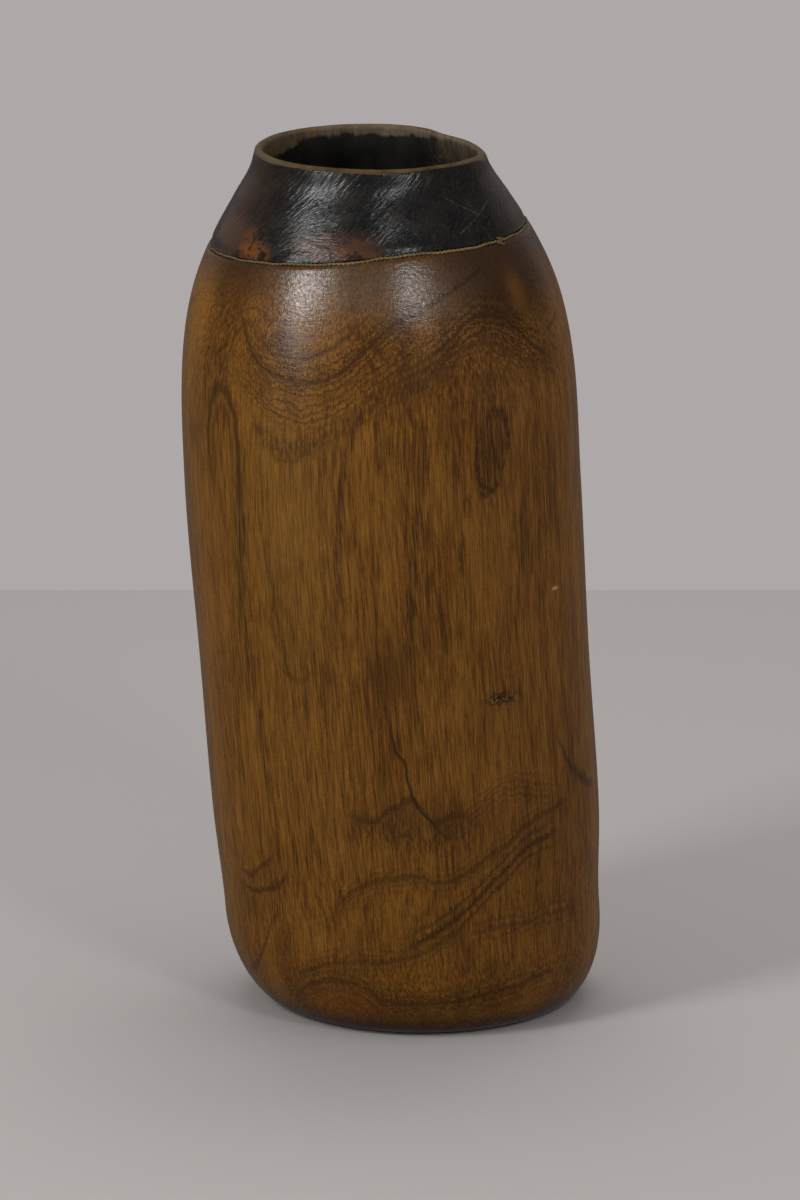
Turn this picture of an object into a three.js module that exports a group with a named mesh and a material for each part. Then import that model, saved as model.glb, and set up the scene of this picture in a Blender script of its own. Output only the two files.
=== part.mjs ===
// A milk container: a tall vessel carved from one block of hardwood, with a collar of hide shrunk round its
// neck and a thin strand of twisted fibre laid on the step where the hide ends. Millimetres, +Z up.
// The origin is the middle of the flat foot. The front faces -Y, and the mouth leans towards -X.
import * as THREE from 'three';

// Outside of the vessel. Each rise is measured from the section below it, and each radius is at the top of
// its rise.
const footRadius = 61.6;
const heelReach = 22.8;
const heelRise = 42;
const flankRise = 44;
const flankRadius = 86.8;
const waistRise = 72;
const waistRadius = 87.3;
const bellyRise = 82;
const bellyRadius = 88.4;
const shoulderRise = 60;
const shoulderRadius = 86.4;
const crownRise = 28;
const crownRadius = 80.8;
const seamRise = 22;
const seamRadius = 71.6;
const neckRise = 18;
const neckRadius = 61.1;
const throatRise = 13;
const throatRadius = 53.2;
const lipRise = 7;
const lipRadius = 51;

// How far the middle of each section has drifted towards -X from the middle of the foot.
const heelLean = 4.2;
const flankLean = 7;
const waistLean = 12.2;
const bellyLean = 17.4;
const shoulderLean = 19.6;
const seamLean = 21.1;
const lipLean = 23.2;

// Wood that the hollowing leaves. The corner of the floor is scooped to a quarter ellipse.
const bodyWall = 10;
const neckWall = 5.5;
const lipThickness = 4;
const floorThickness = 18;
const scoopReach = 26;
const scoopRise = 32;

// The hide collar, and the strand that lies on the step below it.
const hideThickness = 1.5;
const hideRounding = 0.5;
const bareLip = 2.4;
const strandWidth = 1.6;
const strandThickness = 1;
const stepRounding = 0.6;
const fitClearance = 0.35;

// What the hand left uneven: the step climbs towards +X, lifts at the front and swells up a little to the
// right of it, and the lip is worn down at the back, to the right.
const stepClimb = 5;
const stepFrontLift = 2.2;
const stepSwell = 1.5;
const swellMiddle = THREE.MathUtils.degToRad(13);
const swellHalfWidth = THREE.MathUtils.degToRad(20);
const wornDepth = 3.3;
const wornMiddle = THREE.MathUtils.degToRad(27);
const wornHalfWidth = THREE.MathUtils.degToRad(52);

// How finely the surfaces are divided.
const sides = 64;
const arcSteps = 7;
const sideSpacing = 22;
const neckSpacing = 7;
const strandSides = 8;

const flankHeight = heelRise + flankRise;
const waistHeight = flankHeight + waistRise;
const bellyHeight = waistHeight + bellyRise;
const shoulderHeight = bellyHeight + shoulderRise;
const crownHeight = shoulderHeight + crownRise;
const seamHeight = crownHeight + seamRise;
const neckHeight = seamHeight + neckRise;
const throatHeight = neckHeight + throatRise;
const lipHeight = throatHeight + lipRise;
const vesselHeight = lipHeight + lipThickness / 2;
const seatTop = vesselHeight - bareLip;
const seatInset = hideThickness + fitClearance;

// A smooth line through values at rising heights. It holds its last value beyond its ends.
function smoothLine(heights, values, start = THREE.ZeroCurvatureEnding) {
  const line = new THREE.CubicInterpolant(heights, values, 1);
  line.settings = { endingStart: start, endingEnd: THREE.ZeroCurvatureEnding };
  return (height) => line.evaluate(height)[0];
}

const sideRadius = smoothLine(
  [heelRise, flankHeight, waistHeight, bellyHeight, shoulderHeight, crownHeight,
    seamHeight, neckHeight, throatHeight, lipHeight],
  [footRadius + heelReach, flankRadius, waistRadius, bellyRadius, shoulderRadius, crownRadius,
    seamRadius, neckRadius, throatRadius, lipRadius],
  THREE.ZeroSlopeEnding,
);

const lean = smoothLine(
  [0, heelRise, flankHeight, waistHeight, bellyHeight, shoulderHeight, seamHeight, lipHeight],
  [0, heelLean, flankLean, waistLean, bellyLean, shoulderLean, seamLean, lipLean],
);

const wall = smoothLine(
  [shoulderHeight, neckHeight, lipHeight],
  [bodyWall, neckWall + seatInset, lipThickness],
  THREE.ZeroSlopeEnding,
);

// A quarter ellipse that leaves a flat face and turns upright: how far it is drawn in at a height above the
// face.
function drawnIn(height, reach, rise) {
  const left = THREE.MathUtils.clamp(1 - height / rise, 0, 1);
  return reach * (1 - Math.sqrt(1 - left ** 2));
}

const outerRadius = (height) => sideRadius(height) - drawnIn(height, heelReach, heelRise);
const hollowRadius = (height) => outerRadius(Math.max(height, heelRise)) - wall(height)
  - drawnIn(height - floorThickness, scoopReach, scoopRise);

// Heights from one level to another, both included, in equal steps no longer than the spacing.
function levels(from, to, spacing) {
  const steps = Math.max(1, Math.ceil(Math.abs(to - from) / spacing));
  return Array.from({ length: steps + 1 }, (_, i) => from + ((to - from) * i) / steps);
}

// Heights up a quarter ellipse of this rise, closest together where it is flattest.
function arcLevels(rise) {
  return Array.from({ length: arcSteps }, (_, i) => rise * (1 - Math.cos((Math.PI * i) / (2 * arcSteps))));
}

// The half round of the lip, from its outer side over the top to its inner side.
function lipRound() {
  const half = lipThickness / 2;
  return Array.from({ length: arcSteps + 1 }, (_, i) => {
    const turn = (Math.PI * i) / arcSteps;
    const radius = outerRadius(lipHeight) - half + half * Math.cos(turn);
    return new THREE.Vector2(radius, lipHeight + half * Math.sin(turn));
  });
}

// A point of a profile, given by its height and its depth below the outer skin.
const atInset = (height, inset) => new THREE.Vector2(outerRadius(height) - inset, height);

// The step and the seat above it follow the climb of the seam, and the lip follows its wear. Both fade out
// between seam and lip, and the climb fades out again down to the belly.
function unevenHeight(height, x, front) {
  const { smoothstep } = THREE.MathUtils;
  const nearLip = smoothstep(height, seamHeight, seatTop);
  const nearSeam = smoothstep(height, bellyHeight, seamHeight) * (1 - nearLip);
  const awayFromSwell = (Math.atan2(x, front) - swellMiddle) / swellHalfWidth;
  const swell = stepSwell * Math.exp(-(awayFromSwell ** 2));
  const awayFromWorn = Math.abs(Math.atan2(-front, x) - wornMiddle) / wornHalfWidth;
  const worn = wornDepth * (1 - smoothstep(awayFromWorn, 0, 1));
  return height + nearSeam * (stepClimb * x + stepFrontLift * front + swell) - nearLip * worn;
}

// Revolves a profile about the upright axis and gives it the lean and the unevenness of the carved block.
// Every point keeps its depth below the outer skin, so pieces that share a seat stay the same distance apart
// all round.
function carve(name, profile, material) {
  const geometry = new THREE.LatheGeometry(profile, sides).rotateX(Math.PI / 2);
  const place = geometry.getAttribute('position');
  const point = new THREE.Vector3();
  for (let i = 0; i < place.count; i += 1) {
    point.fromBufferAttribute(place, i);
    const radius = Math.hypot(point.x, point.y);
    const [x, y] = radius > 0 ? [point.x / radius, point.y / radius] : [1, 0];
    const height = unevenHeight(point.z, x, -y);
    const shifted = radius > 0 ? radius + outerRadius(height) - outerRadius(point.z) : 0;
    place.setXYZ(i, shifted * x - lean(height), shifted * y, height);
  }
  geometry.computeVertexNormals();
  const mesh = new THREE.Mesh(geometry, material);
  mesh.name = name;
  return mesh;
}

// The vessel: up the outside, in over the step, up the seat under the hide, over the lip, and down the hollow.
function carvedBody() {
  const skinLevels = [
    ...arcLevels(heelRise),
    ...levels(heelRise, crownHeight, sideSpacing),
    ...levels(crownHeight, seamHeight - stepRounding, neckSpacing).slice(1),
  ];
  const hollowLevels = [
    ...levels(lipHeight, crownHeight, neckSpacing).slice(1),
    ...levels(crownHeight, floorThickness + scoopRise, sideSpacing).slice(1),
    ...arcLevels(scoopRise).reverse().map((rise) => floorThickness + rise),
  ];
  const profile = [
    new THREE.Vector2(0, 0),
    ...skinLevels.map((height) => atInset(height, 0)),
    atInset(seamHeight, stepRounding),
    ...levels(seamHeight, seatTop, neckSpacing).map((height) => atInset(height, seatInset)),
    atInset(seatTop, 0),
    ...lipRound(),
    ...hollowLevels.map((height) => new THREE.Vector2(hollowRadius(height), height)),
    new THREE.Vector2(0, floorThickness),
  ];
  const wood = new THREE.MeshStandardMaterial({ color: 0x6b4518, roughness: 0.4, metalness: 0 });
  return carve('carved_body', profile, wood);
}

// The hide: a sleeve shrunk on its seat, thinned a little where its cut edges are rounded over.
function hideCollar() {
  const bottom = seamHeight + strandThickness + 2 * fitClearance;
  const top = seatTop - fitClearance;
  const profile = [
    atInset(bottom, hideRounding),
    ...levels(bottom + hideRounding, top - hideRounding, neckSpacing).map((height) => atInset(height, 0)),
    atInset(top, hideRounding),
    ...levels(top, bottom, neckSpacing).map((height) => atInset(height, hideThickness)),
    atInset(bottom, hideRounding),
  ];
  const hide = new THREE.MeshStandardMaterial({ color: 0x2a2220, roughness: 0.35, metalness: 0 });
  return carve('hide_collar', profile, hide);
}

// The strand: a flattened round, on the step, against the seat and under the edge of the hide.
function bindingStrand() {
  const middleHeight = seamHeight + fitClearance + strandThickness / 2;
  const middleInset = seatInset - fitClearance - strandWidth / 2;
  const profile = Array.from({ length: strandSides + 1 }, (_, i) => {
    const turn = (2 * Math.PI * (i % strandSides)) / strandSides;
    const height = middleHeight + (strandThickness / 2) * Math.sin(turn);
    return atInset(height, middleInset - (strandWidth / 2) * Math.cos(turn));
  });
  const fibre = new THREE.MeshStandardMaterial({ color: 0x8a7043, roughness: 0.8, metalness: 0 });
  return carve('binding_strand', profile, fibre);
}

const milkContainer = new THREE.Group();
milkContainer.name = 'milk_container';
milkContainer.add(carvedBody(), hideCollar(), bindingStrand());

export default milkContainer;
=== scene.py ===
import math

import bpy
import numpy as np
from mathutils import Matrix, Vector, noise


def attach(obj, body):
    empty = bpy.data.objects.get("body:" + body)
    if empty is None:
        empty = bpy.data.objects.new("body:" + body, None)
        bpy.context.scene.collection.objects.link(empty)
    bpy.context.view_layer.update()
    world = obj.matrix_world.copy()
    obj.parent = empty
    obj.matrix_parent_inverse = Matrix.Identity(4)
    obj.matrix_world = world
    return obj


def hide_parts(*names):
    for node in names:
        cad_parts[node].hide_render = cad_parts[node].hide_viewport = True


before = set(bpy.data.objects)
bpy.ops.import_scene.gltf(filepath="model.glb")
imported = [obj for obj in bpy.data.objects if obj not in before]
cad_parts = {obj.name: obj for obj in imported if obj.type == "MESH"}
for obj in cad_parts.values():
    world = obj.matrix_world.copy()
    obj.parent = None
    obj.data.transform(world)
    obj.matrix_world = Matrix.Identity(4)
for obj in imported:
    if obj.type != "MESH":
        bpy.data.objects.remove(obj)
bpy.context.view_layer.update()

# The vessel. One block of hardwood, carved outside and hollowed through the mouth with long-handled gouges,
# then scraped, oiled with butter and fat and polished by handling. It leans a little to the left, its foot is
# cut flat, and its lip stands bare above the hide.
mm = 0.001
foot_radius = 61.6 * mm
heel_reach = 22.8 * mm
heel_rise = 42 * mm
heel_radius, heel_lean = foot_radius + heel_reach, 4.2 * mm
flank_height, flank_radius, flank_lean = 86 * mm, 86.8 * mm, 7 * mm
waist_height, waist_radius, waist_lean = 158 * mm, 87.3 * mm, 12.2 * mm
belly_height, belly_radius, belly_lean = 240 * mm, 88.4 * mm, 17.4 * mm
shoulder_height, shoulder_radius, shoulder_lean = 300 * mm, 86.4 * mm, 19.6 * mm
crown_height, crown_radius = 328 * mm, 80.8 * mm
seam_height, seam_radius, seam_lean = 350 * mm, 71.6 * mm, 21.1 * mm
neck_height, neck_radius = 368 * mm, 61.1 * mm
throat_height, throat_radius = 381 * mm, 53.2 * mm
lip_height, lip_radius, lip_lean = 388 * mm, 51 * mm, 23.2 * mm
lip_thickness = 4 * mm
bare_lip = 2.4 * mm
seat_top = lip_height + lip_thickness / 2 - bare_lip
seat_inset = 1.85 * mm
step_rounding = 0.6 * mm
body_wall = 10 * mm
neck_wall = 5.5 * mm
floor_thickness = 18 * mm
scoop_reach, scoop_rise = 26 * mm, 32 * mm
step_climb, step_front_lift = 5 * mm, 2.2 * mm
step_swell, swell_middle, swell_half_width = 1.5 * mm, math.radians(13), math.radians(20)
facet_depth = 0.17 * mm
gouge_depth = 0.7 * mm
nick_depth = 0.5 * mm
side_spacing, crown_spacing, seat_spacing = 1.9 * mm, 1.5 * mm, 6 * mm
throat_spacing, hollow_spacing = 2 * mm, 9 * mm
vessel_columns = 256


def smooth_line(heights, values, flat_start=False):
    """A smooth line through values at rising heights. It holds its last value beyond its ends."""
    heights, values = np.array(heights), np.array(values)
    slopes = np.diff(values) / np.diff(heights)
    first = 0.0 if flat_start else slopes[0]
    slants = np.concatenate([[first], (slopes[1:] + slopes[:-1]) / 2, slopes[-1:]])

    def at(height):
        height = np.clip(height, heights[0], heights[-1])
        i = np.clip(np.searchsorted(heights, height) - 1, 0, len(slopes) - 1)
        gap = heights[i + 1] - heights[i]
        t = (height - heights[i]) / gap
        level = (1 + 2 * t) * (1 - t) ** 2 * values[i] + t * t * (3 - 2 * t) * values[i + 1]
        return level + gap * (t * (1 - t) ** 2 * slants[i] + t * t * (t - 1) * slants[i + 1])

    return at


side_radius = smooth_line(
    [heel_rise, flank_height, waist_height, belly_height, shoulder_height, crown_height,
     seam_height, neck_height, throat_height, lip_height],
    [heel_radius, flank_radius, waist_radius, belly_radius, shoulder_radius, crown_radius,
     seam_radius, neck_radius, throat_radius, lip_radius], flat_start=True)
lean = smooth_line(
    [0, heel_rise, flank_height, waist_height, belly_height, shoulder_height, seam_height, lip_height],
    [0, heel_lean, flank_lean, waist_lean, belly_lean, shoulder_lean, seam_lean, lip_lean])
wall = smooth_line([shoulder_height, neck_height, lip_height],
                   [body_wall, neck_wall + seat_inset, lip_thickness], flat_start=True)

# How far the lip is worn down, by degrees from its right end towards the back.
lip_wear = smooth_line([-100, -70, -52, -38, -25, -12, 0, 12, 20, 30, 38, 46, 51, 57, 66, 80],
                       np.array([0, 0.5, 0.5, 0.9, 1.2, 2.0, 2.9, 3.15, 2.85, 2.45, 2.4, 2.2, 1.8,
                                 0.95, 0.4, 0]) * mm)


def drawn_in(height, reach, rise):
    """How far a corner rounded to a quarter ellipse lies inside its wall, at a height above the flat face."""
    left = np.clip(1 - height / rise, 0, 1)
    return reach * (1 - np.sqrt(1 - left ** 2))


def outer_radius(height):
    return side_radius(height) - drawn_in(height, heel_reach, heel_rise)


def hollow_radius(height):
    return (outer_radius(np.maximum(height, heel_rise)) - wall(height)
            - drawn_in(height - floor_thickness, scoop_reach, scoop_rise))


def eased(value, low, high):
    """0 at low, 1 at high, and smooth between."""
    t = np.clip((value - low) / (high - low), 0, 1)
    return t * t * (3 - 2 * t)


def uneven_height(height, side, front):
    """The step climbs towards +X, lifts at the front and swells up right of it. The lip is worn down at the
    back."""
    near_lip = eased(height, seam_height, seat_top)
    near_seam = eased(height, belly_height, seam_height) * (1 - near_lip)
    swell = step_swell * np.exp(-((np.arctan2(side, front) - swell_middle) / swell_half_width) ** 2)
    worn = lip_wear(np.degrees(np.arctan2(-front, side)))
    return height + near_seam * (step_climb * side + step_front_lift * front + swell) - near_lip * worn


def scraper_waver(turn, height):
    """How far the scraped skin stands out or in: long facets up the side, a third of a millimetre deep."""
    up = height / mm
    waves = (0.34 * np.sin(3 * turn + up / 61 + 0.7) + 0.26 * np.sin(5 * turn - up / 47 + 2.1)
             + 0.22 * np.sin(11 * turn + up / 83 + 4.0) + 0.18 * np.sin(17 * turn - up / 39 + 1.3)
             + 0.12 * np.sin(23 * turn + up / 29))
    fade = eased(height, 4 * mm, 40 * mm) * (1 - eased(height, throat_height, lip_height))
    return facet_depth * waves * fade


def meshed(name, places, faces, upright):
    """The piece with these points and faces. Its attribute upright keeps each point's place with the lean
    taken out, in millimetres, for the finishes."""
    mesh = bpy.data.meshes.new(name)
    mesh.from_pydata([tuple(p) for p in places], [], faces)
    mesh.shade_smooth()
    kept = mesh.attributes.new("upright", "FLOAT_VECTOR", "POINT")
    kept.data.foreach_set("vector", np.array(upright, dtype=np.float32).ravel())
    piece = bpy.data.objects.new(name, mesh)
    bpy.context.scene.collection.objects.link(piece)
    return piece


def turned_piece(name, profile, around, shift, lift=None):
    """A piece through the rings of a profile of (radius, height) points. A ring of no radius is one point,
    and a profile that ends on its first point is closed. Every ring follows the lean and the unevenness of
    the block, shift(turn, height, row) moves its points out or in, and lift(turn, height) moves them up."""
    closed = profile[0] == profile[-1]
    rings = np.array(profile[:-1] if closed else profile)
    turn = np.arange(around) * 2 * math.pi / around
    places, upright, ring_start = [], [], []
    for row, (radius, height) in enumerate(rings):
        ring_start.append(len(places))
        angles = turn if radius > 0 else np.zeros(1)
        side, front = np.sin(angles), np.cos(angles)
        carried = np.full(len(angles), height) + (lift(angles, height) if lift else 0)
        level = uneven_height(carried, side, front)
        reach = np.full(len(angles), radius)
        if radius > 0:
            reach = reach + (outer_radius(level) - outer_radius(height)) + shift(angles, level, row)
        places.extend(np.stack([reach * side - lean(level), -reach * front, level], 1))
        upright.extend(np.stack([reach * side, -reach * front, level], 1) / mm)
    faces = []
    for low in range(len(rings) if closed else len(rings) - 1):
        high = (low + 1) % len(rings)
        a, b = ring_start[low], ring_start[high]
        for i in range(around):
            j = (i + 1) % around
            if rings[low][0] == 0:
                faces.append((a, b + j, b + i))
            elif rings[high][0] == 0:
                faces.append((a + i, a + j, b))
            else:
                faces.append((a + i, a + j, b + j, b + i))
    return meshed(name, places, faces, upright)


def levels(low, high, spacing):
    """Heights from one level to another, both included, in equal steps no longer than the spacing."""
    return list(np.linspace(low, high, max(2, math.ceil(abs(high - low) / spacing) + 1)))


def at_inset(height, inset=0.0):
    """A point of a profile, by its height and its depth below the outer skin."""
    return float(outer_radius(height)) - inset, height


def rounded(radius, height, size, start, end, steps):
    """Points of a round of this size about a middle, from one angle to another, in degrees."""
    return [(radius + size * math.cos(math.radians(a)), height + size * math.sin(math.radians(a)))
            for a in np.linspace(start, end, steps)]


heel_levels = [heel_rise * (1 - math.cos(a)) for a in np.linspace(0, math.pi / 2, 44)]
scoop_levels = [floor_thickness + scoop_rise * (1 - math.cos(a)) for a in np.linspace(math.pi / 2, 0, 16)]
skin_levels = heel_levels + levels(heel_rise, crown_height, side_spacing)[1:]
skin_levels += levels(crown_height, seam_height - step_rounding, crown_spacing)[1:]
hollow_levels = levels(lip_height, crown_height, throat_spacing)[1:]
hollow_levels += levels(crown_height, floor_thickness + scoop_rise, hollow_spacing)[1:] + scoop_levels[1:]
foot_rings = np.linspace(8 * mm, foot_radius - 0.8 * mm, 9)
floor_rings = np.linspace(40 * mm, 10 * mm, 4)
half_lip = lip_thickness / 2
lip_middle = float(outer_radius(lip_height)) - half_lip
body_profile = [(0.0, 0.0)] + [(r, 0.0) for r in foot_rings]
body_profile += [at_inset(h) for h in skin_levels]
body_profile += rounded(float(outer_radius(seam_height)) - step_rounding, seam_height - step_rounding,
                        step_rounding, 20, 90, 4)
outer_rows = len(body_profile)
body_profile += [at_inset(h, seat_inset) for h in levels(seam_height, seat_top, seat_spacing)]
lip_start = len(body_profile)
body_profile.append((float(outer_radius(seat_top)) - 0.3 * mm, seat_top + 0.1 * mm))
body_profile += rounded(lip_middle, lip_height, half_lip, 0, 180, 15)
lip_rows = len(body_profile)
body_profile += [(float(hollow_radius(h)), h) for h in hollow_levels]
body_profile += [(r, floor_thickness) for r in floor_rings] + [(0.0, floor_thickness)]


def body_shift(turn, height, row):
    """Facets on the outside, small nicks in the lip, and on the inside the long hollows that gouges left."""
    if row < outer_rows:
        return scraper_waver(turn, height)
    if row < lip_rows:
        worn = 0.25 * np.sin(5 * turn + 1) + 0.2 * np.sin(9 * turn + 2.4) + 0.16 * np.sin(17 * turn)
        return scraper_waver(turn, height) + nick_depth * worn * eased(height, seat_top, lip_height)
    gouged = np.abs(np.sin(9 * turn + 0.4 * np.sin(height / mm / 23))) - 0.5
    return gouge_depth * gouged * (1 - eased(height, neck_height, lip_height))


vessel = turned_piece("vessel", body_profile, vessel_columns, body_shift)


class Field:
    """A number, colour or place that varies over a finish, worked out by nodes of its tree."""

    def __init__(self, socket):
        self.socket = socket

    def __add__(self, other):
        return reckon("ADD", self, other)

    def __sub__(self, other):
        return reckon("SUBTRACT", self, other)

    def __rsub__(self, other):
        return reckon("SUBTRACT", other, self)

    def __mul__(self, other):
        return reckon("MULTIPLY", self, other)

    def __truediv__(self, other):
        return reckon("DIVIDE", self, other)

    __radd__ = __add__


def put(tree, kind, inputs, **settings):
    """Adds a node, sets or joins its inputs, and gives its outputs."""
    made = tree.nodes.new("ShaderNode" + kind)
    for name, value in settings.items():
        setattr(made, name, value)
    for name, value in inputs.items():
        if isinstance(value, Field):
            tree.links.new(value.socket, made.inputs[name])
        else:
            made.inputs[name].default_value = value
    return [Field(socket) for socket in made.outputs]


def tree_of(values):
    """The node tree that the first field among these values belongs to."""
    return next(v.socket.id_data for v in values if isinstance(v, Field))


def reckon(operation, *values):
    """The result of one sum on fields and numbers."""
    return put(tree_of(values), "Math", dict(enumerate(values)), operation=operation)[0]


def most(*values):
    """The largest of some fields and numbers."""
    result = values[0]
    for value in values[1:]:
        result = reckon("MAXIMUM", result, value)
    return result


def size_of(value):
    """A field without its sign."""
    return reckon("ABSOLUTE", value)


def distance(across, up):
    """How far a point lies from a middle, from how far it lies across and up."""
    return reckon("SQRT", across * across + up * up)


def rise(value, low, high):
    """0 below low, 1 above high, and smooth between."""
    limits = {"Value": value, "From Min": low, "From Max": high}
    return put(tree_of([value]), "MapRange", limits, interpolation_type="SMOOTHSTEP")[0]


def fall(value, low, high):
    """1 below low, 0 above high, and smooth between."""
    limits = {"Value": value, "From Min": low, "From Max": high, "To Min": 1.0, "To Max": 0.0}
    return put(tree_of([value]), "MapRange", limits, interpolation_type="SMOOTHSTEP")[0]


def mottle(place, sizes, detail=2.0, roughness=0.5, shift=0.0):
    """Noise whose grains measure these sizes in millimetres along X, Y and Z."""
    tree = tree_of([place])
    scale = tuple(1 / s for s in sizes)
    moved = put(tree, "VectorMath", {0: place, 1: scale, 2: (shift, shift * 1.7, shift * 0.6)},
                operation="MULTIPLY_ADD")[0]
    inputs = {"Vector": moved, "Scale": 1.0, "Detail": detail, "Roughness": roughness}
    return put(tree, "TexNoise", inputs)[0]


def blend(factor, under, over):
    """Over laid on under, as thick as the factor says. Colours are linear."""
    tree = tree_of([factor, under, over])
    under, over = [c if isinstance(c, Field) else (*c, 1.0) for c in (under, over)]
    return put(tree, "Mix", {0: factor, 6: under, 7: over}, data_type="RGBA")[2]


def tones(value, *steps):
    """A colour for each value, smooth between (value, colour) steps."""
    tree = tree_of([value])
    made = tree.nodes.new("ShaderNodeValToRGB")
    tree.links.new(value.socket, made.inputs[0])
    while len(made.color_ramp.elements) < len(steps):
        made.color_ramp.elements.new(0.5)
    for element, (position, colour) in zip(made.color_ramp.elements, steps):
        element.position, element.color = position, (*colour, 1.0)
    return Field(made.outputs[0])


def course(along, points):
    """A smooth line through points: the second number of each point, for the first."""
    tree = tree_of([along])
    first, last = points[0][0], points[-1][0]
    low, high = min(p[1] for p in points), max(p[1] for p in points)
    made = tree.nodes.new("ShaderNodeFloatCurve")
    curve = made.mapping.curves[0]
    spread = [((a - first) / (last - first), (b - low) / (high - low)) for a, b in points]
    curve.points[0].location, curve.points[1].location = spread[0], spread[-1]
    for place in spread[1:-1]:
        curve.points.new(*place)
    made.mapping.update()
    share = (along - first) / (last - first)
    tree.links.new(share.socket, made.inputs["Value"])
    return Field(made.outputs[0]) * (high - low) + low


class Finish:
    """A material with what its nodes work from: the place in the upright block in millimetres, the height,
    and the turn round the vessel from its front in degrees."""

    def __init__(self, name):
        self.material = bpy.data.materials.new(name)
        self.material.use_nodes = True
        self.tree = self.material.node_tree
        self.shader = next(n for n in self.tree.nodes if n.type == "BSDF_PRINCIPLED")
        self.place = put(self.tree, "Attribute", {}, attribute_name="upright")[1]
        side, back, self.height = put(self.tree, "SeparateXYZ", {0: self.place})
        self.turn = reckon("ARCTAN2", side, back * -1.0) * math.degrees(1)

    def wander(self, sizes, reach):
        """The place moved about by soft noise of these sizes, as far as reach along each axis."""
        scaled = put(self.tree, "VectorMath", {0: self.place, 1: tuple(1 / s for s in sizes)},
                     operation="MULTIPLY")[0]
        noise_colour = put(self.tree, "TexNoise", {"Vector": scaled, "Scale": 1.0, "Detail": 1.0})[1]
        centred = put(self.tree, "VectorMath", {0: noise_colour, 1: (0.5, 0.5, 0.5)}, operation="SUBTRACT")[0]
        return put(self.tree, "VectorMath", {0: centred, 1: reach, 2: self.place},
                   operation="MULTIPLY_ADD")[0]

    def set(self, **sockets):
        """Sets or joins the shader's inputs, named with _ for each space."""
        for name, value in sockets.items():
            socket = self.shader.inputs[name.replace("_", " ")]
            if isinstance(value, Field):
                self.tree.links.new(value.socket, socket)
            else:
                socket.default_value = value

    def relief(self, height, depth):
        """A bumped normal for a height from 0 to 1 that is this deep, in millimetres."""
        return put(self.tree, "Bump", {"Strength": 1.0, "Distance": depth * mm, "Height": height})[0]


# Its finish. Pores and streaks run up the sides with the grain, and short flecks show where the shoulder and
# the heel cut across it.
wood = Finish("oiled_hardwood")
grain_place = wood.wander((50, 50, 160), (4, 4, 4))
pores = mottle(grain_place, (0.62, 0.62, 15), detail=2.5, roughness=0.6)
flecks = mottle(grain_place, (0.85, 0.85, 3.2), roughness=0.55, shift=3.1)
middle_streaks = mottle(grain_place, (1.9, 1.9, 50), detail=2.5, roughness=0.6, shift=7.7)
broad_streaks = mottle(grain_place, (9, 9, 95), shift=5.2)
soft_tone = mottle(wood.place, (30, 30, 60), shift=1.9)
cross_cut = most(rise(wood.height, 280, 320), fall(wood.height, 20, 70) * 0.5)
streak_tone = (0.5 + (pores - 0.5) * (1.45 - cross_cut * 0.55)
               + (middle_streaks - 0.5) * 0.48 * (1 - cross_cut * 0.6)
               + (broad_streaks - 0.5) * 0.42 + (soft_tone - 0.5) * 0.50
               + (flecks - 0.5) * (0.3 + cross_cut * 0.9))

# Growth layers round a pith that lies behind the middle and to the right of it. They run straight up the
# sides, and come out as curls and bands where the shoulder and the heel cut through them.
ring_width = 1.7
mm_per_degree = 1.5
small_wobble = mottle(wood.place, (7, 7, 7), shift=4.4) - 0.5
large_wobble = mottle(wood.place, (24, 24, 30), detail=1.0, shift=2.4) - 0.5
layer_warp = (mottle(wood.place, (38, 38, 50), detail=1.5, shift=6.1) - 0.5) * 26 + small_wobble * 3
from_pith = put(wood.tree, "VectorMath", {0: wood.place, 1: (-14, -30, 0)}, operation="ADD")[0]
pith_side, pith_back = put(wood.tree, "SeparateXYZ", {0: from_pith})[:2]
layer = distance(pith_side, pith_back) + layer_warp
rings = put(wood.tree, "TexNoise", {"W": layer / ring_width, "Scale": 1.0, "Detail": 2.0},
            noise_dimensions="1D")[0]
ring_places = mottle(wood.place, (26, 26, 34), detail=1.0, shift=11.0)
ring_presence = rise(ring_places, 0.42, 0.62) * (0.25 + cross_cut * 0.75)
jag = mottle(wood.place, (2.4, 2.4, 2.4), detail=1.0, shift=16.0) - 0.5
bent_turn = wood.turn + small_wobble * 2.6 + large_wobble * 2.0
bent_height = wood.height + small_wobble * 4.0 + large_wobble * 3.0 + (pores - 0.5) * 5.0 + jag * 3.2


def ends(along, first, last, fade):
    """1 between two ends, and fading out over this length at each."""
    return rise(along, first - fade / 2, first + fade / 2) * fall(along, last - fade / 2, last + fade / 2)


def curl(points, width, strength=1.0):
    """A dark growth line that runs round the vessel, through (turn, height) points."""
    off = size_of(bent_height - course(bent_turn, points))
    return fall(off, width * 0.15, width) * ends(wood.turn, points[0][0], points[-1][0], 7) * strength


def curl_family(points, spacing, reach, strength=1.0):
    """Fainter growth lines that follow a course above and below it."""
    off = bent_height - course(bent_turn, points)
    lines = rise(reckon("COSINE", (off + small_wobble * 2.5) * (2 * math.pi / spacing)), 0.0, 0.85)
    along = ends(wood.turn, points[0][0], points[-1][0], 16)
    return lines * fall(size_of(off), reach * 0.45, reach) * along * strength


def streak(points, width, strength):
    """A dark streak that runs up the vessel, through (height, turn) points."""
    off = size_of(bent_turn - course(wood.height, points)) * mm_per_degree
    return fall(off, width * 0.1, width) * ends(wood.height, points[0][0], points[-1][0], 24) * strength


def patch(turn, height, half_turn, half_height, edge):
    """A soft-edged patch, 1 in its middle, ragged by the wobble."""
    away = distance((bent_turn - turn) / half_turn, (bent_height - height) / half_height)
    return fall(away, 1 - edge, 1 + edge * 0.4)


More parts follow.
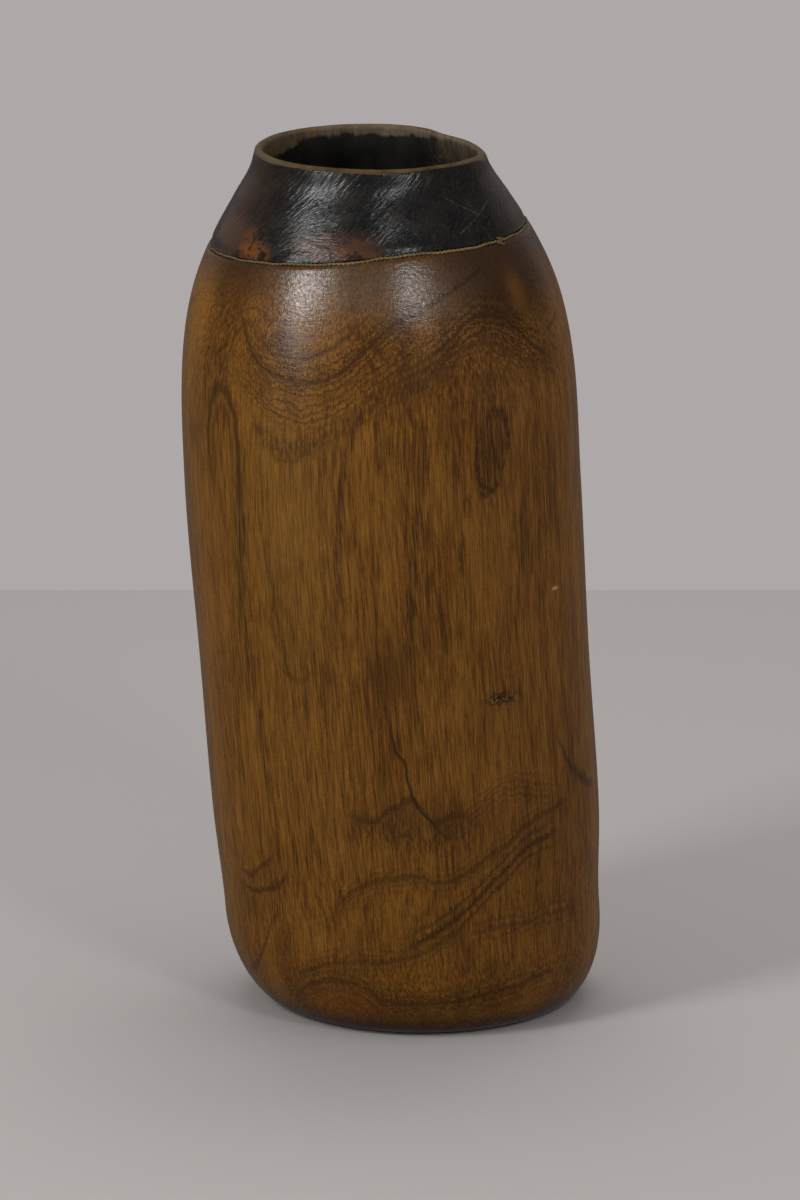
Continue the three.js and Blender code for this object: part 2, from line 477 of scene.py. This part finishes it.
# Growth lines of the shoulder, as (turn, height) points in degrees from the front and in millimetres.
smile = [(-47, 328), (-42, 316), (-37, 308), (-29, 303), (-20, 302), (-12, 306), (-6, 313), (0, 321),
         (8, 330), (16, 337)]
inner_smile = [(-40, 322), (-34, 315), (-26, 312), (-18, 314), (-10, 321), (-4, 329)]
middle_band = [(-46, 306), (-37, 295), (-29, 289), (-20, 288), (-12, 293), (-4, 302), (4, 310), (12, 317)]
lower_band = [(-39, 280), (-34, 274), (-28, 270), (-22, 273), (-14, 281), (-5, 289), (3, 297), (12, 303),
              (22, 307)]
right_hill = [(2, 300), (10, 306), (18, 311), (26, 315), (33, 317), (40, 315), (46, 310), (53, 305),
              (60, 302)]
right_arches = [(16, 313), (24, 321), (30, 327), (36, 329), (42, 327), (48, 320), (54, 312), (62, 304)]
slant_in_shine = [(8, 328), (14, 332), (22, 337), (30, 342), (40, 347)]
arches = most(curl(right_arches, 2.4), curl_family(right_arches, 3.3, 13))
loop_away = distance((bent_turn + 52.0) / 6.8, most(bent_height - 268, 0.0) / 26)
left_loop = most(fall(size_of(loop_away - 1) * 10, 0.4, 2.2),
                 fall(size_of(loop_away - 0.62) * 10, 0.3, 1.8) * 0.6)

# Growth lines of the side, the heel and the foot, the same way.
inner_turn = [(-35, 173), (-32, 168), (-28, 166), (-25, 169), (-23, 175)]
right_edge_line = [(54, 134), (58, 122), (63, 114), (69, 108), (76, 103)]
zigzag = [(-16, 111), (-12, 105), (-8, 105), (-5, 109), (-1, 112), (3, 115), (6, 110), (10, 104), (15, 107),
          (20, 104)]
left_zigzag = [(-59, 63), (-53, 62), (-50, 64), (-45, 66), (-41, 70), (-38, 76)]
left_zigzag_above = [(-60, 70), (-55, 69), (-51, 73), (-48, 77), (-45, 79), (-42, 88)]
left_low_line = [(-66, 20), (-58, 27), (-52, 37), (-48, 47), (-44, 55)]
right_low_line = [(18, 50), (28, 53), (36, 52), (46, 54), (60, 53)]
heel_crest = [(8, 100), (14, 102), (20, 106), (26, 112), (33, 116), (39, 115), (46, 112), (54, 105)]
heel_wave = [(-22, 63), (-12, 75), (-5, 78), (2, 79), (10, 76), (18, 80), (26, 87), (33, 92), (40, 99),
             (50, 102), (56, 104)]
heel_slant = [(-1, 46), (8, 53), (15, 60), (20, 66), (25, 73), (32, 81), (39, 88), (50, 91)]
heel_low = [(-39, 27), (-32, 32), (-25, 36), (-17, 38), (-8, 39), (0, 42), (8, 47), (16, 54)]
foot_arc = [(-44, 14), (-38, 21), (-32, 25), (-25, 28), (-19, 27), (-12, 22), (-5, 19), (8, 19), (20, 21),
            (33, 24), (48, 27)]
arc_away = distance((bent_turn + 25) / 16, (bent_height - 10) / 17)
foot_arcs = rise(reckon("COSINE", arc_away * 25), 0.0, 0.9) * fall(arc_away, 0.85, 1.15)
short_dashes = mottle(grain_place, (0.8, 0.8, 4.5), detail=1.0, shift=18.0)
speckled = patch(7, 100, 30, 17, 0.8) * rise(short_dashes, 0.47, 0.60) * 0.8

growth_lines = most(
    curl(smile, 2.4), curl_family(smile, 2.8, 11, 0.9), curl(inner_smile, 1.8, 0.8),
    curl_family(middle_band, 3.2, 9, 0.75),
    curl(lower_band, 3.0, 0.35), curl_family(lower_band, 4.0, 8, 0.4),
    curl(lower_band, 9.0, 0.85) * rise(short_dashes, 0.44, 0.60),
    curl(right_hill, 2.6, 0.7), curl_family(right_hill, 3.4, 9, 0.7),
    arches * 0.9, left_loop * rise(wood.height, 215, 275) * 0.85,
    curl(inner_turn, 2.6, 0.45), curl(right_edge_line, 4.6, 0.8), curl(zigzag, 3.0, 0.8),
    curl(left_zigzag, 2.4, 0.8), curl(left_zigzag_above, 2.2, 0.7), curl(left_low_line, 2.4, 0.7),
    curl(right_low_line, 2.2, 0.55), curl_family(right_low_line, 3.8, 9, 0.5),
    curl_family(heel_crest, 3.0, 9, 0.6), speckled,
    curl(heel_wave, 3.0, 0.75), curl_family(heel_wave, 3.4, 9, 0.5),
    curl(heel_slant, 2.8, 0.95), curl_family(heel_slant, 5.2, 12, 0.75),
    curl(heel_slant, 11.0, 0.5) * rise(short_dashes, 0.43, 0.60),
    curl(heel_low, 2.6, 0.7), curl_family(heel_low, 3.4, 9, 0.5),
    curl(foot_arc, 2.6, 0.8), curl_family(foot_arc, 3.4, 10, 0.6),
    rise(rings, 0.50, 0.70) * ring_presence * 0.65,
)
figure = growth_lines * (0.60 + rise(flecks + pores * 0.4, 0.58, 0.74) * 0.40)

# Dark streaks that run up the side, as (height, turn) points, the eye of a small knot, the drying crack, a
# smudge and a chip.
left_streak = [(110, -42), (140, -44), (170, -46), (200, -47), (235, -45), (268, -44)]
inner_streak = [(165, -32), (185, -33), (205, -35), (230, -36)]
inner_rise = [(170, -24), (182, -23), (200, -23)]
middle_streak = [(178, 5), (195, 6), (215, 8), (240, 10), (275, 13)]
rising_streak = [(205, -14), (240, -13), (262, -11), (280, -7), (296, -2)]
right_streak = [(210, 24), (228, 23), (250, 26)]
streaks = most(
    streak(left_streak, 4.5, 0.9), streak(inner_streak, 2.8, 0.9), streak(inner_rise, 2.0, 0.6),
    streak(middle_streak, 3.4, 0.9), streak(rising_streak, 2.6, 0.9), streak(right_streak, 1.8, 0.7),
) * (0.35 + fall(pores, 0.40, 0.56) * 0.65)
eye_turn, eye_height, eye_slant = 34, 269, 0.11
eye_away = distance((bent_turn - eye_turn - (wood.height - eye_height) * eye_slant) / 5.6,
                    (bent_height - eye_height) / 18)
eye = most(fall(size_of(eye_away - 0.95), 0.04, 0.25) * rise(flecks + soft_tone, 0.80, 1.05),
           fall(eye_away, 0.75, 1.10) * (0.42 + fall(pores, 0.38, 0.54) * 0.58))
crack_line = [(98, 11.5), (104, 8), (112, 4.3), (121, 2.4), (131, 1.7), (136, -0.4), (150, -1.6)]
off_crack = size_of(wood.turn + small_wobble * 1.5 - course(wood.height, crack_line))
crack = fall(off_crack, 0.15, 0.80) * ends(wood.height, 98, 150, 14)
smudge_specks = mottle(wood.place, (2.2, 2.2, 1.3), detail=3.0, shift=2.2)
smudge = patch(32.5, 157, 7.5, 4.0, 0.9) * rise(smudge_specks, 0.42, 0.49)
chip = fall(distance((wood.turn - 57) / 1.7, (wood.height - 200.7) / 0.9), 0.7, 1.1)

# Its colours, which are linear. The bare tone of the streaks lies under the layers, which are laid on in
# order, each as thick as its first value says.
golden, tan, brown = (0.148, 0.063, 0.0060), (0.098, 0.0378, 0.0028), (0.066, 0.0240, 0.0020)
dark_brown, line_brown = (0.034, 0.0122, 0.0014), (0.022, 0.0085, 0.0015)
olive_gold_and_sheen, amber, arch_brown = (0.135, 0.072, 0.0110), (0.15, 0.055, 0.006), (0.0105, 0.0042, 0.0012)
left_umber, right_umber = (0.040, 0.0160, 0.0040), (0.0200, 0.0078, 0.0022)
foot_red, arc_red, foot_shade_brown = (0.130, 0.040, 0.006), (0.060, 0.0150, 0.0030), (0.016, 0.0080, 0.0035)
crack_black, smudge_black, bare_chip = (0.016, 0.008, 0.003), (0.009, 0.006, 0.0045), (0.30, 0.20, 0.085)
seam_band_brown, painted_sheen_grey = (0.026, 0.0120, 0.0050), (0.062, 0.045, 0.031)
slant_brown, speck_brown = (0.012, 0.007, 0.004), (0.010, 0.0050, 0.0025)
# Shifts of the wood's tone: golden in the shoulder, darker right of it, a little paler low down, and a paler
# strip up the left that is partly a painted reflection of the left window.
ripeness_and_sheen = (patch(-22, 300, 30, 26, 0.9) * 0.16 - patch(36, 300, 26, 12, 0.9) * 0.04
            + patch(-27, 225, 12, 75, 0.9) * 0.05 + fall(wood.height, 60, 190) * 0.035)
# Painted light: the left flank is laid paler as if lit more by the left window, and the right edge paler as a
# painted reflection.
painted_flank_light = (fall(wood.turn, -72, -56) * rise(wood.turn, -125, -100) * 0.17
                + rise(wood.turn, 62, 76) * fall(wood.turn, 100, 125) * 0.09)
dashes = rise(mottle(grain_place, (0.5, 0.5, 2.6), detail=1.0, shift=14.0), 0.56, 0.66)
# Painted shade: the wood is darkened over its lowest dozen millimetres, where the foot meets the floor.
painted_foot_shade = fall(wood.height + small_wobble * 6, 1.0, 13.0)
# Darker in a band just under the seam, least at the front.
under_seam = (rise(wood.height + large_wobble * 10, 328, 352)
              * (0.60 + rise(size_of(wood.turn + 6), 22, 44) * 0.35))
specks = rise(mottle(wood.place, (1.0, 1.0, 1.4), shift=21.0), 0.54, 0.64)
wood_layers = [
    # A paler olive strip up the left: partly the wood's own tone, partly a painted reflection of the left
    # window.
    (patch(-29, 235, 17, 80, 0.9) * 0.22, olive_gold_and_sheen),
    (patch(50, 341, 34, 25, 0.8) * 0.90, right_umber),
    (patch(-52, 340, 18, 17, 0.9) * 0.50, left_umber),
    (patch(52, 340, 5, 14, 0.9) * 0.50, amber),
    (patch(-29, 347, 7, 3, 0.9) * 0.50, line_brown),
    (patch(-1, 172, 8, 17, 0.9) * 0.62, dark_brown),
    (patch(8, 104, 26, 15, 0.9) * 0.30, dark_brown),
    (patch(-69, 266, 6, 11, 0.9) * 0.45, dark_brown),
    (dashes * (0.12 + cross_cut * 0.33), line_brown),
    (streaks * 0.82, line_brown),
    (figure * 0.90, line_brown),
    (eye * 0.88, line_brown),
    (arches * 0.28, arch_brown),
    (patch(-25, 18, 16, 9, 0.9) * 0.25, foot_red),
    (foot_arcs * 0.45, arc_red),
    (crack * 0.80, crack_black),
    (smudge * 0.92, smudge_black),
    (chip * 0.65, bare_chip),
    # painted shade at the foot
    (painted_foot_shade * 0.80, foot_shade_brown),
    (under_seam, seam_band_brown),
    # Painted sheen: a grey haze over the front of the shoulder about the two highlights.
    (patch(3, 340, 32, 15, 0.9) * 0.42, painted_sheen_grey),
    (curl(slant_in_shine, 1.3) * 0.75, slant_brown),
    (specks * under_seam * 0.45, speck_brown),
]
wood_colour = tones(streak_tone + ripeness_and_sheen + painted_flank_light, (0.14, dark_brown), (0.36, brown), (0.52, tan),
                    (0.80, golden))
for thickness, stain in wood_layers:
    wood_colour = blend(thickness, wood_colour, stain)
scratches = mottle(wood.wander((14, 14, 14), (5, 5, 5)), (4.0, 4.0, 1.0), detail=1.0, shift=9.0)
grains = (mottle(wood.place, (1.3, 1.3, 1.0), shift=23.0) - 0.5) * rise(wood.height, 300, 335)
wood_relief = wood.relief(pores * 0.5 + flecks * 0.45 + scratches * 1.2 + grains * 0.8, 0.09)
wood_roughness = 0.275 + (flecks - 0.5) * 0.25 + (soft_tone - 0.5) * 0.15
wood.set(Base_Color=wood_colour, Roughness=wood_roughness, Specular_IOR_Level=0.27 + grains * 0.85,
         Coat_Weight=0.10, Coat_Roughness=0.50, Normal=wood_relief)
vessel.data.materials.append(wood.material)

# The mouth. The same block where no oil is rubbed in: the lip is bare and golden, the wood just inside it is
# dry and pale, and below that the hollow is charred black, as it is smoked with embers between milkings.
mouth = Finish("bare_mouth_wood")
mouth_streaks = mottle(mouth.place, (1.6, 1.6, 14), detail=2.5, roughness=0.6)
mouth_blots = mottle(mouth.place, (8, 8, 5), detail=3.0, shift=5.0)
mouth_side = put(mouth.tree, "SeparateXYZ", {0: mouth.place})[0]
char_level = 385.9 - rise(mouth_side * -1.0, 26, 45) * 5.5
char_edge = mouth.height + (mouth_blots - 0.5) * 5 + (mouth_streaks - 0.5) * 3
faded = rise(mouth_side + (mouth_streaks - 0.5) * 30, 22, 42) * rise(mouth.height, 355, 380) * 0.6
charred = fall(char_edge - char_level, -1.2, 0.8) * (1 - faded)
shaded_wood, drip_brown, dull_corner = (0.045, 0.029, 0.013), (0.080, 0.040, 0.010), (0.060, 0.044, 0.026)
dry_wood = tones(mouth_streaks * 0.5 + mouth_blots * 0.5, (0.3, (0.038, 0.027, 0.014)),
                 (0.5, (0.066, 0.049, 0.028)), (0.72, (0.105, 0.083, 0.052)))
dry_wood = blend(rise(mouth_side * -1.0, 22, 40) * 0.6, dry_wood, shaded_wood)
drip = fall(size_of(mouth_side + 26.0 + (mouth_blots - 0.5) * 3), 0.6, 2.2)
dry_wood = blend(drip * 0.6, dry_wood, drip_brown)
soot = tones(mottle(mouth.place, (9, 9, 30), detail=3.0), (0.35, (0.0035, 0.0035, 0.0030)),
             (0.7, (0.012, 0.011, 0.0085)))
mouth_colour = blend(charred, dry_wood, soot)
from_axis_squared = put(mouth.tree, "VectorMath", {0: mouth.place, 1: mouth.place},
                        operation="DOT_PRODUCT")[1] - mouth.height * mouth.height
lip_front = rise(reckon("SQRT", from_axis_squared), 47.6, 49.2) * rise(mouth.height, 381, 384)
lip_tone = tones(mouth_blots, (0.3, (0.025, 0.0135, 0.0038)), (0.55, (0.047, 0.0275, 0.0060)),
                 (0.75, (0.076, 0.046, 0.0105)))
mouth_colour = blend(lip_front * 0.95, mouth_colour, lip_tone)
lip_corners = lip_front * rise(size_of(mouth_side), 28, 48)
mouth_colour = blend(lip_corners * 0.8, mouth_colour, dull_corner)
mouth.set(Base_Color=mouth_colour, Roughness=0.7, Specular_IOR_Level=0.18,
          Normal=mouth.relief(mouth_streaks + mouth_blots * 0.5, 0.25))
vessel.data.materials.append(mouth.material)
first_mouth_vertex = 1 + vessel_columns * (lip_start - 1)
for face in vessel.data.polygons:
    face.material_index = int(min(face.vertices) >= first_mouth_vertex)
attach(vessel, "root")
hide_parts("carved_body")

# The hide collar. A sleeve of raw hide drawn wet over the neck and shrunk tight as it dried, then blackened
# by smoke, fat and hands. It is finely wrinkled, and its lower edge has drawn up into a small glossy roll.
hide_thickness = 1.5 * mm
strand_thickness = 1.0 * mm
fit_clearance = 0.35 * mm
hide_bottom = seam_height + strand_thickness + 0.5 * fit_clearance
hide_top = seat_top
low_rounding, top_rounding = 0.6 * mm, 0.25 * mm
hide_row_spacing, hide_inner_spacing, hide_columns = 0.42 * mm, 5 * mm, 880
inner_margin = 0.4 * mm
top_lift = 1.5 * mm
roll_depth, edge_thinning = 0.5 * mm, 0.6 * mm
roll_height, roll_half_width = 2.7 * mm, 1.9 * mm
fold_depth, cross_depth, ripple_depth = 0.120 * mm, 0.012 * mm, 0.07 * mm
lump_depth, hide_sinking = 0.05 * mm, 0.08 * mm
hide_levels = levels(hide_bottom + low_rounding, hide_top - top_rounding, hide_row_spacing)
hide_profile = rounded(float(outer_radius(hide_bottom)) - low_rounding, hide_bottom + low_rounding,
                       low_rounding, -150, -20, 6)
hide_profile += [at_inset(h) for h in hide_levels]
hide_profile += rounded(float(outer_radius(hide_top)) - top_rounding, hide_top - top_rounding,
                        top_rounding, 20, 120, 4)
hide_outer_rows = len(hide_profile)
hide_profile += [at_inset(h, hide_thickness)
                 for h in levels(hide_top - inner_margin, hide_bottom + inner_margin, hide_inner_spacing)]
hide_profile.append(hide_profile[0])


def hide_lift(turn, height):
    """The cut top edge stands higher over the foot of the bare lip: most to the right of the front, and less
    all along the front."""
    right = eased(turn, math.radians(2), math.radians(28))
    right = right * (1 - eased(turn, math.radians(66), math.radians(84)))
    front = eased(np.cos(turn), 0.3, 0.8) * 0.65
    return top_lift * np.maximum(right, front) * eased(height, hide_top - 12 * mm, hide_top)


def turned_from(turn, middle):
    """How far round a turn lies from a middle in degrees, the shorter way."""
    return (turn - math.radians(middle) + math.pi) % (2 * math.pi) - math.pi


def hide_waver(turn, height):
    """How far wrinkles move the hide at one point: folds that run up at a slant, ripples across them low at
    the left of the front, and broad shallow lumps."""
    up = height / mm
    slanted = turn - up / 50
    steeper = turn - up / 75
    folds = noise.noise(Vector((math.cos(slanted) * 60, math.sin(slanted) * 60, up / 10)))
    folds += 0.8 * noise.noise(Vector((math.cos(steeper) * 42, math.sin(steeper) * 42, up / 8 + 40)))
    across = noise.noise(Vector((math.cos(turn) * 8, math.sin(turn) * 8, up / 1.1 + 9)))
    lumps = noise.noise(Vector((math.cos(turn) * 4.5, math.sin(turn) * 4.5, up / 16 + 70)))
    rippled = math.exp(-(turned_from(turn, 333) / 0.32) ** 2 - ((up - 359) / 9) ** 2)
    wrinkled = fold_depth * (1 - 0.75 * rippled) * folds + (cross_depth + ripple_depth * rippled) * across
    return wrinkled + lump_depth * lumps - hide_sinking


def hide_shift(turn, height, row):
    """The outer face wavers with its wrinkles. The lower edge is drawn up into a roll in two places, and is
    shrunk thin everywhere else."""
    if row >= hide_outer_rows:
        return scraper_waver(turn, height)
    wrinkles = np.array([hide_waver(t, h) for t, h in zip(turn, height)])
    edge = uneven_height(np.full(len(turn), hide_bottom), np.sin(turn), np.cos(turn))
    drawn_up = np.exp(-(turned_from(turn, 11) / math.radians(15)) ** 2)
    drawn_up += np.exp(-(turned_from(turn, -32) / math.radians(7)) ** 2)
    roll = roll_depth * drawn_up * np.exp(-((height - edge - roll_height) / roll_half_width) ** 2)
    thinned = edge_thinning * (1 - np.minimum(drawn_up, 1)) * (1 - eased(height - edge, 0, 5 * mm))
    return scraper_waver(turn, height) + wrinkles + roll - thinned + 0.2 * hide_lift(turn, height)


collar = turned_piece("hide_sleeve", hide_profile, hide_columns, hide_shift, hide_lift)
hide = Finish("smoked_hide")
neck_reach = 62


def slanted_folds(slant, sizes, shift=0.0):
    """Noise that runs up the neck at a slant: the place is turned further the higher it is."""
    turned = put(hide.tree, "VectorRotate",
                 {"Vector": hide.place, "Angle": hide.height * (slant / neck_reach)},
                 rotation_type="Z_AXIS")[0]
    return mottle(turned, sizes, detail=1.0, shift=shift)


slant_folds = slanted_folds(-1.3, (0.75, 0.75, 9))
counter_folds = slanted_folds(-0.8, (1.6, 1.6, 9), shift=3.0)
cross_wrinkles = mottle(hide.place, (6, 6, 0.9), detail=1.0, shift=6.0)
hide_blots = mottle(hide.place, (10, 10, 8), detail=3.0, roughness=0.55, shift=8.0)
hide_ragged = mottle(hide.place, (3.2, 3.2, 2.4), detail=3.0, roughness=0.65, shift=12.0) - 0.5
hide_wobble = (hide_blots - 0.5) * 14 + hide_ragged * 14
hide_turn = hide.turn + hide_wobble * 0.8
hide_height = hide.height + hide_wobble * 0.5


def hide_patch(turn, height, half_turn, half_height):
    """A soft-edged patch, 1 in its middle, ragged by the hide's own wobble."""
    return fall(distance((hide_turn - turn) / half_turn, (hide_height - height) / half_height), 0.4, 1.15)


def scratch(first, last, turn, height, slope):
    """A fine scratch between two turns, through one of its points, at a slope in millimetres for a degree."""
    off = size_of(hide.height - height - (hide.turn - turn) * slope)
    return ends(hide.turn, first, last, 6) * fall(off, 0.15, 0.5)


fold_crests = rise(slant_folds, 0.54, 0.70)
browned = most(fall(hide_turn, -68, -34), rise(hide_turn, 52, 84) * 0.8)
browned = browned * (0.5 + rise(hide_blots, 0.38, 0.62) * 0.5)
russet = most(hide_patch(-48, 353, 10, 5), hide_patch(-50, 358, 8, 5) * 0.6,
              hide_patch(-13, 361, 17, 5) * 0.35, hide_patch(-10, 356, 16, 4) * 0.55)
russet = russet * rise(hide_blots + hide_ragged * 0.9, 0.40, 0.56)
scratched = most(scratch(36, 50, 42, 372.5, -0.6), scratch(34, 58, 46, 366, 0.42))
fold_crest_grey, raw_scratch, russet_brown = (0.0260, 0.0230, 0.0180), (0.075, 0.066, 0.048), (0.100, 0.034, 0.008)
side_brown, left_brown = (0.0250, 0.0140, 0.0085), (0.0480, 0.0260, 0.0150)
front_brown = (0.0300, 0.0160, 0.0095)
hide_layers = [
    # The crests of the slanted folds are laid lighter grey.
    (fold_crests * 0.5, fold_crest_grey),
    (browned * 0.85, side_brown),
    (hide_patch(-66, 357, 16, 9) * 0.6, left_brown),
    (hide_patch(-13, 358, 24, 7) * 0.5, front_brown),
    (russet * 0.85, russet_brown),
    (scratched * rise(hide_ragged, -0.12, 0.10) * 0.32, raw_scratch),
]
hide_colour = tones(hide_blots, (0.3, (0.0045, 0.0045, 0.0048)), (0.55, (0.0080, 0.0074, 0.0072)),
                    (0.8, (0.0160, 0.0120, 0.0090)))
for thickness, stain in hide_layers:
    hide_colour = blend(thickness, hide_colour, stain)
rippled = fall(size_of(hide.turn + 27), 12, 32) * fall(hide.height, 358, 368)
hide_relief = hide.relief(slant_folds + counter_folds * 0.3 + cross_wrinkles * (0.10 + rippled), 0.16)
hide.set(Base_Color=hide_colour, Roughness=0.25 + (hide_blots - 0.5) * 0.12, Specular_IOR_Level=0.235,
         Normal=hide_relief)
collar.data.materials.append(hide.material)
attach(collar, "root")
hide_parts("hide_collar")

# The strand. Two plies of bark fibre twisted together and laid round the neck on the step, under the edge of
# the hide, with its ends crossed at the right of the front. Grease has darkened it in spots, and it is
# laid darker towards both sides.
ply_radius = 0.36 * mm
ply_reach = ply_radius * 0.8
ply_sides = 10
twist_length = 4.2 * mm
strand_middle = seam_height + 0.62 * mm
strand_inset = 0.25 * mm
strand_waver, strand_sinking = 0.12 * mm, 0.5 * mm
round_steps, end_steps = 1100, 20


def strand_path(turn, out, up):
    """Points of the strand, and the way outward at each. The strand sinks in at both sides of the neck."""
    side, front = np.sin(turn), np.cos(turn)
    level = uneven_height(np.full(len(turn), strand_middle), side, front)
    level = level + strand_waver * (np.sin(9 * turn) + np.sin(23 * turn + 1) + 0.6 * np.sin(41 * turn)) + up
    degrees = np.degrees(turn) % 360
    sunk = strand_sinking * (eased(np.abs(degrees - 270), 70, 20) + eased(np.abs(degrees - 90), 40, 15))
    reach = outer_radius(level) - strand_inset - sunk + scraper_waver(turn, level) + out
    middle = np.stack([reach * side - lean(level), -reach * front, level], 1)
    return middle, np.stack([side, -front, 0 * side], 1)


def twist_plies(name, pieces):
    """Two plies wound round each path, joined into one mesh of tubes."""
    places, upright, faces = [], [], []
    for turn, out, up, closed in pieces:
        middle, outward = strand_path(turn, out, up)
        ahead = np.roll(middle, -1, 0) - np.roll(middle, 1, 0) if closed else np.gradient(middle, axis=0)
        ahead /= np.linalg.norm(ahead, axis=1)[:, None]
        upward = np.cross(outward, ahead)
        upward /= np.linalg.norm(upward, axis=1)[:, None]
        steps = np.linalg.norm(np.diff(middle, axis=0), axis=1)
        length = np.concatenate([[0], np.cumsum(steps)])
        turns = round(length[-1] / twist_length) if closed else length[-1] / twist_length
        whole = length[-1] * (1 + 1 / len(turn) if closed else 1)
        count = len(turn)
        for ply in (0, math.pi):
            angle = (2 * math.pi * turns * length / whole + ply)[:, None]
            centre = middle + ply_reach * (np.cos(angle) * outward + np.sin(angle) * upward)
            thick = ply_radius * (1 + 0.12 * np.sin(length / mm * 1.3 + ply))
            start = len(places)
            for k in range(ply_sides):
                a = 2 * math.pi * k / ply_sides
                ring = centre + thick[:, None] * (math.cos(a) * outward + math.sin(a) * upward)
                places.extend(ring)
                away = ring + np.stack([lean(ring[:, 2]), 0 * ring[:, 2], 0 * ring[:, 2]], 1)
                upright.extend(away / mm)
            for k in range(ply_sides):
                for i in range(count if closed else count - 1):
                    j, m = (i + 1) % count, (k + 1) % ply_sides
                    a, b = start + k * count, start + m * count
                    faces.append((a + i, a + j, b + j, b + i))
            if not closed:
                for end in (0, count - 1):
                    rim = [start + k * count + end for k in range(ply_sides)]
                    faces.append(rim if end else rim[::-1])
    return meshed(name, places, faces, upright)


whole_turn = np.arange(round_steps) * 2 * math.pi / round_steps
low_end = np.radians(np.linspace(52, 55.5, end_steps))
high_end = np.radians(np.linspace(57, 53.5, end_steps))
strand = twist_plies("fibre_strand", [
    (whole_turn, 0.0, 0.0, True),
    (low_end, 0.35 * mm, -np.linspace(0.1, 1.5, end_steps) * mm, False),
    (high_end, 0.6 * mm, np.linspace(0.2, 1.3, end_steps) * mm, False),
])
fibre = Finish("fibre_strand")
fibre_streaks = mottle(fibre.place, (0.35, 0.35, 0.35))
greased = rise(mottle(fibre.place, (11, 11, 11), shift=2.0), 0.48, 0.62)
# The strand is laid darker towards both sides of the neck.
darker_strand_sides = most(fall(fibre.turn, -50, -22) * 0.6, rise(fibre.turn, 30, 60) * 0.5)
fibre_colour = tones(fibre_streaks, (0.3, (0.070, 0.046, 0.012)), (0.6, (0.150, 0.102, 0.028)),
                     (0.8, (0.250, 0.172, 0.056)))
grease_spots, strand_side_brown = (0.035, 0.022, 0.010), (0.034, 0.023, 0.009)
fibre_colour = blend(greased * 0.50, fibre_colour, grease_spots)
fibre_colour = blend(darker_strand_sides, fibre_colour, strand_side_brown)
fibre.set(Base_Color=fibre_colour, Roughness=0.7, Normal=fibre.relief(fibre_streaks, 0.1))
strand.data.materials.append(fibre.material)
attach(strand, "root")
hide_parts("binding_strand")

# The studio. A plain pale floor and plain pale air behind it. A tall soft window stands at the left with a
# dimmer pane below it and a smaller window at the right, and a wide lamp at the right and one above and
# behind fill the shade. The room in front is dark, and only the polish mirrors it.
floor_side, floor_front, floor_back = 1.2, -0.9, 0.72
floor_colour = (0.262, 0.250, 0.242, 1)
lamp_aim = Vector((0, 0, 0.24))
lit_air, camera_air = 0.62, 0.425
dark_room, mirrored_wall, mirrored_floor = 0.02, 0.27, 0.10
air_colour = (1.0, 0.935, 0.93, 1)
floor_mesh = bpy.data.meshes.new("studio_floor")
floor_mesh.from_pydata([(-floor_side, floor_front, 0), (floor_side, floor_front, 0),
                        (floor_side, floor_back, 0), (-floor_side, floor_back, 0)], [], [(0, 1, 2, 3)])
studio_floor = bpy.data.objects.new("studio_floor", floor_mesh)
bpy.context.scene.collection.objects.link(studio_floor)
floor_paint = bpy.data.materials.new("pale_floor")
floor_paint.use_nodes = True
floor_shader = next(n for n in floor_paint.node_tree.nodes if n.type == "BSDF_PRINCIPLED")
floor_shader.inputs["Base Color"].default_value = floor_colour
floor_shader.inputs["Roughness"].default_value = 0.9
floor_shader.inputs["Specular IOR Level"].default_value = 0.2
floor_mesh.materials.append(floor_paint)
studio_floor.visible_glossy = False


def lamp(name, azimuth, elevation, away, width, height, power):
    """A soft rectangular lamp, at an azimuth from the front towards the right, that faces the vessel."""
    light = bpy.data.lights.new(name, "AREA")
    light.shape, light.size, light.size_y, light.energy = "RECTANGLE", width, height, power
    made = bpy.data.objects.new(name, light)
    a, e = math.radians(azimuth), math.radians(elevation)
    out = Vector((math.sin(a) * math.cos(e), -math.cos(a) * math.cos(e), math.sin(e)))
    made.location = lamp_aim + out * away
    made.rotation_euler = out.to_track_quat("Z", "Y").to_euler()
    bpy.context.scene.collection.objects.link(made)
    return made


lamp("window_left", -50, 33, 1.7, 0.37, 0.66, 19.5)
lamp("window_left_low", -50, 13, 1.7, 0.40, 0.44, 3.2)
lamp("window_right", 26, 35, 1.7, 0.29, 0.32, 7.6)
lamp("back_top_light", 175, 62, 2.0, 1.6, 1.2, 26).visible_glossy = False
lamp("right_fill", 82, 15, 1.8, 1.2, 1.4, 8).visible_glossy = False

# The air lights the vessel at one strength and shows behind it at another. In a polished surface it shows
# the wall behind, the floor below and the dark room in front.
world = bpy.data.worlds.new("studio_air")
world.use_nodes = True
air = next(n for n in world.node_tree.nodes if n.type == "BACKGROUND")
sight = world.node_tree.nodes.new("ShaderNodeLightPath")
direction = Field(world.node_tree.nodes.new("ShaderNodeTexCoord").outputs["Generated"])
backwards, upwards = put(world.node_tree, "SeparateXYZ", {0: direction})[1:]
above = rise(upwards, -0.06, 0.06)
towards_wall = rise(backwards, 0.30, 0.95) * above
mirrored = most(Field(sight.outputs["Is Glossy Ray"]), Field(sight.outputs["Is Transmission Ray"]))
seen = Field(sight.outputs["Is Camera Ray"])
mirrored_air = (dark_room + towards_wall * (mirrored_wall - dark_room)
                + (1 - above) * (mirrored_floor - dark_room))
glow = lit_air + mirrored * (mirrored_air - lit_air) + seen * (camera_air - lit_air)
world.node_tree.links.new(glow.socket, air.inputs["Strength"])
air.inputs["Color"].default_value = air_colour
bpy.context.scene.world = world

# The camera, four metres off with a long lens, looking down at the vessel.
look_down = 14.6425
camera = bpy.data.objects.new("camera", bpy.data.cameras.new("camera"))
camera.data.lens = 277.1
camera.data.sensor_width = 36
camera.data.clip_end = 100
camera.location = (-0.0097, -4.0, 1.2278)
camera.rotation_euler = (math.radians(90 - look_down), 0, 0)
bpy.context.scene.collection.objects.link(camera)
bpy.context.scene.camera = camera
bpy.context.scene.view_settings.view_transform = "Standard"
